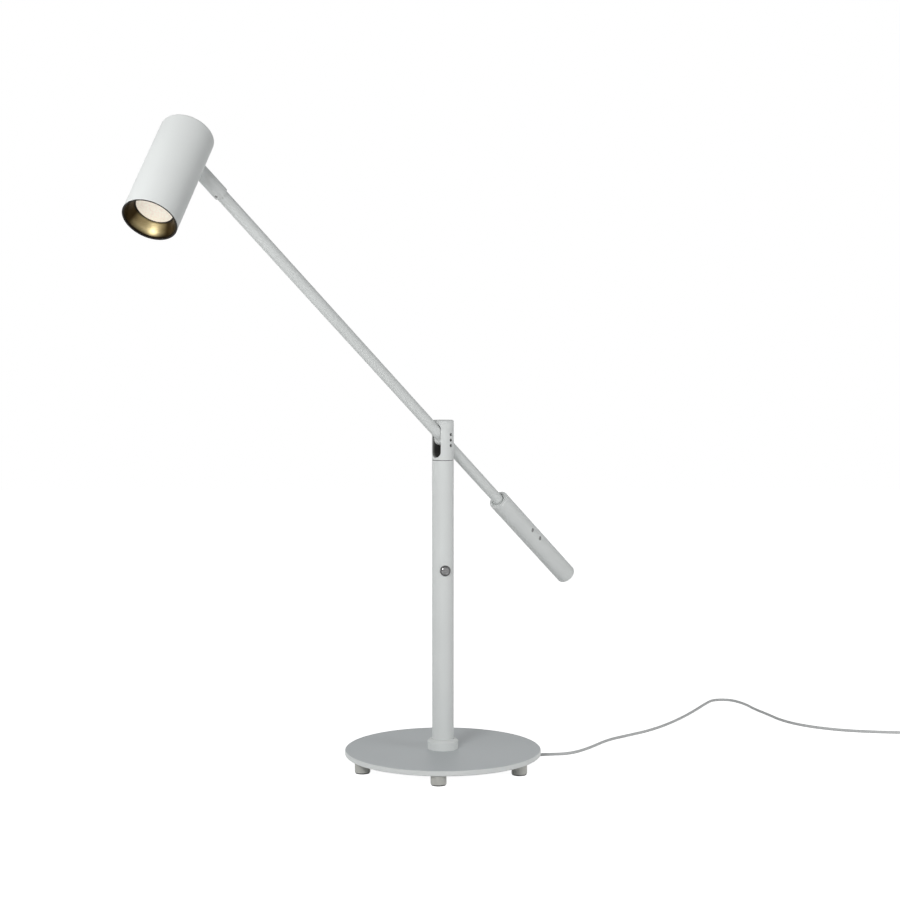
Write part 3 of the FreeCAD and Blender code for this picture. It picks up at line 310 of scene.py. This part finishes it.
# %% Metals
def turned_metal(name, dark, light, roughness, scale=None):
    """A metal with the lathe's streaks."""
    return finish(name, dark, light, roughness, RINGS, metallic=1.0, scale=scale)


zinc = turned_metal("zinc", (0.50, 0.51, 0.52), (0.62, 0.62, 0.63), 0.32)
pin_nickel = turned_metal("pin_nickel", (0.62, 0.63, 0.63), (0.72, 0.72, 0.72), 0.14)
bezel_nickel = turned_metal("bezel_nickel", (0.05, 0.05, 0.05), (0.14, 0.14, 0.14), 0.16)
button_nickel = turned_metal("button_nickel", (0.06, 0.06, 0.06), (0.34, 0.34, 0.34), 0.12, scale=150.0)
black_steel = finish("black_steel", (0.02, 0.02, 0.02), (0.04, 0.04, 0.04), 0.4, RINGS)
grey_steel = turned_metal("grey_steel", (0.16, 0.16, 0.16), (0.24, 0.24, 0.24), 0.4)
pin_brass = turned_metal("pin_brass", (0.42, 0.27, 0.09), (0.60, 0.42, 0.17), 0.30)
print("metals:", len(bpy.data.materials))

# %% [markdown]
# ## Plastic, rubber and ceramic
# The feet are pale plastic on rubber pads, the cover and the switch are black plastic, the lampholder
# is ceramic, and the cord's sheath is soft grey. The powder coat's fine skin suits a moulded surface
# too, so the same group is used, with less depth on the smooth sheath and more on the rubber.

# %% Plastics
foot_plastic = finish("foot_plastic", (0.48, 0.48, 0.45), (0.54, 0.54, 0.51), 0.5, COAT, gloss=0.3)
pad_rubber = finish("pad_rubber", (0.10, 0.10, 0.10), (0.14, 0.14, 0.14), 0.8, COAT, depth=0.3)
black_plastic = finish("black_plastic", (0.02, 0.02, 0.02), (0.035, 0.035, 0.035), 0.5, COAT)
ceramic = finish("ceramic", (0.78, 0.76, 0.70), (0.84, 0.82, 0.77), 0.25, COAT)
lamp_shell = finish("lamp_shell", (0.012, 0.010, 0.008), (0.03, 0.025, 0.02), 0.45, COAT)
sheath = finish("sheath", (0.52, 0.53, 0.53), (0.58, 0.59, 0.59), 0.45, COAT, depth=0.05, gloss=0.3)
print("plain finishes:", len(bpy.data.materials))

# %% [markdown]
# ## Frames for masks
# Some finishes change from place to place: the knuckle's slot gets painted shade, the shade is black
# inside with painted shade on its lip, and the gold ring gets a painted reflection and painted shade
# towards the mouth. The pieces could be cut into separate parts, but a mask keeps each piece whole.
# Object coordinates equal the lamp's own coordinates at rest and stay with the piece when it moves. A
# Mapping node turns them into the piece's own axes, which follow from the arm's two angles, the head's
# roll and the arm's reach.

# %% Piece axes
PIVOT = Vector((0, 0, 0.3823))
ARM_AZIMUTH = math.radians(42.5)
ARM_ELEVATION = math.radians(38.2)
HEAD_ROLL = math.radians(13.9)
HEAD_REACH = 0.4892


def axes(yaw, pitch=0.0, roll=0.0):
    """The turn of a piece: roll about X, then pitch about Y, then yaw about Z."""
    return Euler((roll, pitch, yaw), "XYZ").to_matrix()


KNUCKLE_AXES = axes(-math.pi / 2 - ARM_AZIMUTH)
HEAD_AXES = axes(-math.pi / 2 - ARM_AZIMUTH, -ARM_ELEVATION, HEAD_ROLL)
HEAD_START = PIVOT + HEAD_REACH * HEAD_AXES.col[0]
print("head starts at", [round(v, 4) for v in HEAD_START])

# %% [markdown]
# ## Distances inside a material
# A mask compares distances: how far a point is from the piece's Z axis, and its X, Y and Z. Small
# helpers write that in a line or two, because code for each single node would be long. The last
# helper lays another colour over a finish where the mask is one.

# %% Helpers for masks
def maths(tree, operation, *items):
    """One Math node, whose inputs are sockets or numbers."""
    node = tree.nodes.new("ShaderNodeMath")
    node.operation = operation
    for socket, item in zip(node.inputs, items):
        if isinstance(item, (int, float)):
            socket.default_value = item
        else:
            tree.links.new(item, socket)
    return node.outputs["Value"]


def own_place(tree, start, turn):
    """A point in a piece's own axes: its distance from the Z axis, and its X, Y and Z."""
    place = tree.nodes.new("ShaderNodeTexCoord")
    back = tree.nodes.new("ShaderNodeMapping")
    inverse = turn.transposed()
    back.inputs["Rotation"].default_value = inverse.to_euler("XYZ")
    back.inputs["Location"].default_value = -(inverse @ start)
    parts = tree.nodes.new("ShaderNodeSeparateXYZ")
    tree.links.new(place.outputs["Object"], back.inputs["Vector"])
    tree.links.new(back.outputs["Vector"], parts.inputs["Vector"])
    x, y, z = parts.outputs
    squares = maths(tree, "ADD", maths(tree, "MULTIPLY", x, x), maths(tree, "MULTIPLY", y, y))
    return maths(tree, "SQRT", squares), x, y, z


def tinted(material, mask, colour, roughness):
    """Mix a finish's colour and roughness towards others where the mask is one."""
    tree = material.node_tree
    shader = tree.nodes["Principled BSDF"]
    for label, kind, other in (("Base Color", "RGBA", (*colour, 1.0)), ("Roughness", "FLOAT", roughness)):
        mix = tree.nodes.new("ShaderNodeMix")
        mix.data_type = kind
        first, second = [socket for socket in mix.inputs if socket.name in ("A", "B") and socket.enabled]
        result = next(socket for socket in mix.outputs if socket.enabled)
        tree.links.new(shader.inputs[label].links[0].from_socket, first)
        second.default_value = other
        tree.links.new(mask, mix.inputs["Factor"])
        tree.links.new(result, shader.inputs[label])


# %% [markdown]
# ## Powder coat
# The same white coat covers the post, the arm, the weight, the knuckle and the shade. The plate's top
# is painted greyer, as painted shade for the weaker light on its upward face, and its edge keeps the
# white of the post. The edge could be a piece of its own, but a mask by the distance from the middle
# holds from every side and in every pose.

# %% Powder coat
POWDER_DARK = (0.72, 0.74, 0.73)
POWDER_LIGHT = (0.76, 0.78, 0.77)
# Painted shade: the plate's top is greyer than the white coat because its top face gets less light.
PLATE_TOP_SHADE_DARK = (0.54, 0.57, 0.58)
PLATE_TOP_SHADE_LIGHT = (0.575, 0.605, 0.615)
PLATE_EDGE_FROM = 0.1143


def white_coat(name):
    """The lamp's white powder coat."""
    return finish(name, POWDER_DARK, POWDER_LIGHT, 0.55, COAT, gloss=0.22)


powder = white_coat("powder_white")
plate_coat_with_painted_shade = finish("plate_coat_with_painted_shade", PLATE_TOP_SHADE_DARK, PLATE_TOP_SHADE_LIGHT, 0.45, COAT, depth=0.08, gloss=0.2)
tree = plate_coat_with_painted_shade.node_tree
radius = own_place(tree, Vector((0, 0, 0)), axes(0.0))[0]
tinted(plate_coat_with_painted_shade, maths(tree, "GREATER_THAN", radius, PLATE_EDGE_FROM), POWDER_LIGHT, 0.5)
print("coats:", powder.name, plate_coat_with_painted_shade.name)

# %% [markdown]
# ## The shade's black inside and painted shade on its lip
# The shade is one tube with a closed top, white outside and black inside and on its lip. The black on
# the lip is painted shade, for the lip that faces down, away from the lamps. The mask is one inside a
# radius that lies in the tube's wall and below a height that lies in its top. Both limits run through
# solid metal, so no seam can be seen. The mask is also one on the lip, which is the last tenth of a
# millimetre.

# %% Shade coat
SHADE_WALL_RADIUS = 0.0272
SHADE_TOP_HEIGHT = 0.0218
SHADE_LIP_HEIGHT = -0.0962
INSIDE_BLACK_AND_LIP_SHADE = (0.012, 0.010, 0.008)

shade_coat = white_coat("shade_coat")
tree = shade_coat.node_tree
radius, _, _, z = own_place(tree, HEAD_START, HEAD_AXES)
inside = maths(tree, "LESS_THAN", radius, SHADE_WALL_RADIUS)
below_top = maths(tree, "LESS_THAN", z, SHADE_TOP_HEIGHT)
lip_shade_mask = maths(tree, "LESS_THAN", z, SHADE_LIP_HEIGHT)
# Painted shade: black on the lip, together with the black inside.
tinted(shade_coat, maths(tree, "MAXIMUM", maths(tree, "MULTIPLY", inside, below_top), lip_shade_mask),
       INSIDE_BLACK_AND_LIP_SHADE, 0.5)
print("black inside:", shade_coat.name)

# %% [markdown]
# ## Painted shade in the knuckle's slot
# The arm tilts in a slot through the knuckle, and the slot's inside is painted dark: painted shade for
# the shadow in the slot. The mask takes in what lies between the slot's walls and inside the knuckle's
# skin. Towards the mouth on the arm's long side, where more light reaches in, the painted shade is
# paler, which a second tint lays over the first.

# %% Knuckle coat
SLOT_HALF_WIDTH = 0.0068
KNUCKLE_SKIN_RADIUS = 0.0124
SLOT_TOP = 0.0190
MOUTH_FROM = 0.0055
MOUTH_TO = 0.0125
SLOT_PAINTED_SHADE = (0.06, 0.06, 0.057)
SLOT_PAINTED_SHADE_NEAR_MOUTH = (0.50, 0.51, 0.50)

knuckle_coat = white_coat("knuckle_coat")
tree = knuckle_coat.node_tree
radius, x, y, z = own_place(tree, PIVOT, KNUCKLE_AXES)
in_slot = maths(tree, "LESS_THAN", maths(tree, "ABSOLUTE", y), SLOT_HALF_WIDTH)
in_body = maths(tree, "LESS_THAN", radius, KNUCKLE_SKIN_RADIUS)
under_cap = maths(tree, "LESS_THAN", z, SLOT_TOP)
deep_slot = maths(tree, "MULTIPLY", maths(tree, "MULTIPLY", in_slot, in_body), under_cap)
# Painted shade: dark inside the slot, and paler towards the mouth.
tinted(knuckle_coat, deep_slot, SLOT_PAINTED_SHADE, 0.6)
paler_shade_near_mouth = blend(tree, x, MOUTH_FROM, MOUTH_TO, smooth=True)
tinted(knuckle_coat, maths(tree, "MULTIPLY", deep_slot, paler_shade_near_mouth), SLOT_PAINTED_SHADE_NEAR_MOUTH, 0.5)
print("dark slot:", knuckle_coat.name)

# %% [markdown]
# ## Gold ring
# The ring that lines the mouth is spun metal with a gold anodised finish. Its bright low side and the
# brown on both sides of that are a painted reflection, and the near black towards the mouth's edge is
# painted shade. Reflections alone would need the real room, so both changes are painted into the finish
# here.

# %% Gold ring
LOW_SIDE = math.radians(230)
FULL_DARK_REFLECTION_COSINE = 0.60
EDGE_FROM = 0.0236
EDGE_TO = 0.0254
GOLD_DARK = (0.58, 0.47, 0.24)
GOLD_LIGHT = (0.78, 0.66, 0.38)
SIDE_PAINTED_REFLECTION = (0.050, 0.034, 0.014)
EDGE_PAINTED_SHADE = (0.02, 0.014, 0.006)

ring_gold = finish("ring_gold", GOLD_DARK, GOLD_LIGHT, 0.34, RINGS, metallic=1.0, depth=0.2)
tree = ring_gold.node_tree
radius, x, y, _ = own_place(tree, HEAD_START, HEAD_AXES)
low = maths(tree, "ADD", maths(tree, "MULTIPLY", x, math.cos(LOW_SIDE)),
            maths(tree, "MULTIPLY", y, math.sin(LOW_SIDE)))
dark_reflection_mask = blend(tree, maths(tree, "DIVIDE", low, radius), 1.0, FULL_DARK_REFLECTION_COSINE, smooth=True)
# Painted reflection: bright gold on the low side, dark brown on both sides of it.
tinted(ring_gold, dark_reflection_mask, SIDE_PAINTED_REFLECTION, 0.4)
# Painted shade: nearly black towards the mouth's edge.
tinted(ring_gold, blend(tree, radius, EDGE_FROM, EDGE_TO), EDGE_PAINTED_SHADE, 0.4)
print("ring:", ring_gold.name)

# %% [markdown]
# ## Glowing lens
# The lamp is lit, and its frosted lens glows warm. A lamp object behind a glass lens would be true to
# life but slow and noisy, so the lens gives off the light itself. A pattern of small cells, each
# brighter in its middle, stands for the lens's moulded facets.

# %% Lens
LENS_WARMTH = (1.0, 0.91, 0.77)
LENS_FROST = (0.45, 0.42, 0.38)
CELL_SCALE = 420.0
GLOW_IN_CELL = 0.64
GLOW_BETWEEN_CELLS = 0.45


def glowing_lens():
    """A frosted lens lit from behind: warm, with a fine pattern of cells."""
    material = bpy.data.materials.new("glowing_lens")
    material.use_nodes = True
    tree = material.node_tree
    shader = tree.nodes["Principled BSDF"]
    shader.inputs["Base Color"].default_value = (*LENS_FROST, 1.0)
    shader.inputs["Roughness"].default_value = 0.35
    shader.inputs["Emission Color"].default_value = (*LENS_WARMTH, 1.0)
    place = tree.nodes.new("ShaderNodeTexCoord")
    cells = tree.nodes.new("ShaderNodeTexVoronoi")
    cells.inputs["Scale"].default_value = CELL_SCALE
    tree.links.new(place.outputs["Object"], cells.inputs["Vector"])
    glow = blend(tree, cells.outputs["Distance"], low=GLOW_IN_CELL, high=GLOW_BETWEEN_CELLS)
    tree.links.new(glow, shader.inputs["Emission Strength"])
    return material


lens_glow = glowing_lens()
print("lens:", lens_glow.name)

# %% [markdown]
# ## Who wears what
# One table says which pieces wear each finish, so that it can be read and changed in one place. A loop
# puts the finish on every slot of each piece. The cord wears the sheath.

# %% Dress the pieces
WEARS = {
    powder: ["post_tube", "post_collar", "arm_tube", "head_sleeve", "cheek_plate", "counterweight",
             "tilt_barrel"],
    shade_coat: ["shade"],
    knuckle_coat: ["knuckle"],
    plate_coat_with_painted_shade: ["base_plate"],
    zinc: ["foot_screws", "post_plug", "base_nipple", "base_washer", "base_nut", "cover_screws",
           "swivel_lock_ring", "head_nipple", "saddle_washer", "head_nut", "holder_carrier",
           "holder_screws"],
    black_steel: ["cheek_screws"],
    grey_steel: ["weight_screws", "sleeve_screw"],
    bezel_nickel: ["switch_bezel"],
    button_nickel: ["push_button"],
    pin_nickel: ["plug_pins"],
    ring_gold: ["lamp_ring"],
    pin_brass: ["lamp_pins"],
    foot_plastic: ["feet"],
    pad_rubber: ["foot_pads"],
    black_plastic: ["under_cover", "switch_body", "swivel_bush"],
    ceramic: ["lampholder"],
    lamp_shell: ["lamp_body"],
    lens_glow: ["lamp_lens"],
    sheath: ["strain_relief", "plug_body"],
}
for material, names in WEARS.items():
    for name in names:
        slots = NODES[name].data.materials
        for i in range(len(slots)):
            slots[i] = material
        if len(slots) == 0:
            slots.append(material)
cord.data.materials.append(sheath)
dressed = {name for names in WEARS.values() for name in names}
print("nodes that the cord stands for:", sorted(set(NODES) - dressed))

# %% [markdown]
# ## Lamps of the studio
# Three small soft boxes stand round the lamp: one by the head, one low on the left for the post and one
# on the right for the counterweight. One large lamp would be simpler, but it lights the head and the
# post alike, and here the head is the brightest part and its right side falls away.

# %% Soft boxes
SOFT_BOXES = {  # where it stands, what it is aimed at, its side in metres, its power in watts
    "head_light": ((-0.55, -1.25, 0.95), (-0.26, -0.30, 0.65), 0.5, 9.4),
    "post_light": ((-1.3, -0.9, 0.25), (0.0, 0.0, 0.25), 0.8, 4.4),
    "weight_light": ((0.95, -0.5, 0.30), (0.20, 0.15, 0.25), 0.4, 3.4),
}


def soft_light(name, spot, target, side, power):
    """A square soft box aimed at a point, which the camera doesn't see."""
    data = bpy.data.lights.new(name, "AREA")
    data.shape = "SQUARE"
    data.size = side
    data.energy = power
    lamp = bpy.data.objects.new(name, data)
    scene.collection.objects.link(lamp)
    lamp.visible_camera = False
    lamp.location = spot
    lamp.rotation_euler = (Vector(target) - Vector(spot)).to_track_quat("-Z", "Y").to_euler()


for name, box in SOFT_BOXES.items():
    soft_light(name, *box)

# %% [markdown]
# ## Clean white behind the lamp
# On a cut-out product picture the ground is plain white. Brighter lamps would also bleach the lamp, so
# the white is only for rays that look: those of the camera, of a mirror and of glass. Every other ray
# meets the real room, and that one lights the lamp.

# %% Seen white
def seen_white(tree, lighting, seen):
    """Camera, glossy and transmission rays meet the seen shader, and every other ray the lighting one."""
    path = tree.nodes.new("ShaderNodeLightPath")
    sight = maths(tree, "MAXIMUM", path.outputs["Is Camera Ray"], path.outputs["Is Glossy Ray"])
    sight = maths(tree, "MAXIMUM", sight, path.outputs["Is Transmission Ray"])
    choose = tree.nodes.new("ShaderNodeMixShader")
    tree.links.new(sight, choose.inputs["Fac"])
    tree.links.new(lighting, choose.inputs[1])
    tree.links.new(seen, choose.inputs[2])
    return choose.outputs["Shader"]


def emission(tree, strength):
    """Plain white light of the given strength."""
    white = tree.nodes.new("ShaderNodeEmission")
    white.inputs["Strength"].default_value = strength
    return white.outputs["Emission"]


# %% [markdown]
# ## The room
# The room gives the even part of the light. It is a little darker overhead than at the walls, brighter
# at the wall behind, so that the lamp's back isn't in the dark, and brighter on the left than on the
# right. Walls could be modelled, but a world that changes with the direction does the same at once.

# %% Room
ROOM_TINT = (0.97, 0.99, 1.0)
WALL_GLOW = 0.17
CEILING_GLOW = 0.12
CEILING_FROM = 0.8
BACK_WALL_GAIN = 4.5
LEFT_WALL_GAIN = 1.2
RIGHT_WALL_GAIN = 0.8

world = bpy.data.worlds.new("studio")
scene.world = world
world.use_nodes = True
tree = world.node_tree
room = tree.nodes["Background"]
room.inputs["Color"].default_value = (*ROOM_TINT, 1.0)
looking = tree.nodes.new("ShaderNodeTexCoord")
direction = tree.nodes.new("ShaderNodeSeparateXYZ")
tree.links.new(looking.outputs["Generated"], direction.inputs["Vector"])
to_the_right, to_the_back, upwards = direction.outputs
glow = blend(tree, upwards, end=CEILING_FROM, low=WALL_GLOW, high=CEILING_GLOW)
back_gain = blend(tree, to_the_back, low=1.0, high=BACK_WALL_GAIN)
side_gain = blend(tree, to_the_right, start=-1.0, low=LEFT_WALL_GAIN, high=RIGHT_WALL_GAIN)
gain = maths(tree, "MULTIPLY", back_gain, side_gain)
tree.links.new(maths(tree, "MULTIPLY", glow, gain), room.inputs["Strength"])
tree.links.new(seen_white(tree, room.outputs["Background"], emission(tree, 1.0)),
               tree.nodes["World Output"].inputs["Surface"])
print("room:", world.name)

# %% [markdown]
# ## The floor
# The floor bounces light as a matt pale sheet does, but reads as clean white to the camera. A plain
# white emission would lose the lamp's shadow, so a diffuse share is added to it, and only a soft
# shadow shows.

# %% Floor
FLOOR_SIDE = 8.0
FLOOR_GREY = 0.8
FLOOR_GLOW = 0.93
SHADOW_SHARE = 0.6

bpy.ops.mesh.primitive_plane_add(size=FLOOR_SIDE, location=(0, 0, 0))
floor = bpy.context.object
floor.name = "floor"
floor_material = bpy.data.materials.new("floor_white")
floor_material.use_nodes = True
tree = floor_material.node_tree
matt = tree.nodes["Principled BSDF"]
matt.inputs["Base Color"].default_value = (FLOOR_GREY, FLOOR_GREY, FLOOR_GREY, 1.0)
matt.inputs["Roughness"].default_value = 0.9
shadow_catcher = tree.nodes.new("ShaderNodeBsdfDiffuse")
shadow_catcher.inputs["Color"].default_value = (SHADOW_SHARE, SHADOW_SHARE, SHADOW_SHARE, 1.0)
pale = tree.nodes.new("ShaderNodeAddShader")
tree.links.new(shadow_catcher.outputs["BSDF"], pale.inputs[0])
tree.links.new(emission(tree, FLOOR_GLOW), pale.inputs[1])
tree.links.new(seen_white(tree, matt.outputs["BSDF"], pale.outputs["Shader"]),
               tree.nodes["Material Output"].inputs["Surface"])
floor.data.materials.append(floor_material)
print("floor:", floor.name)
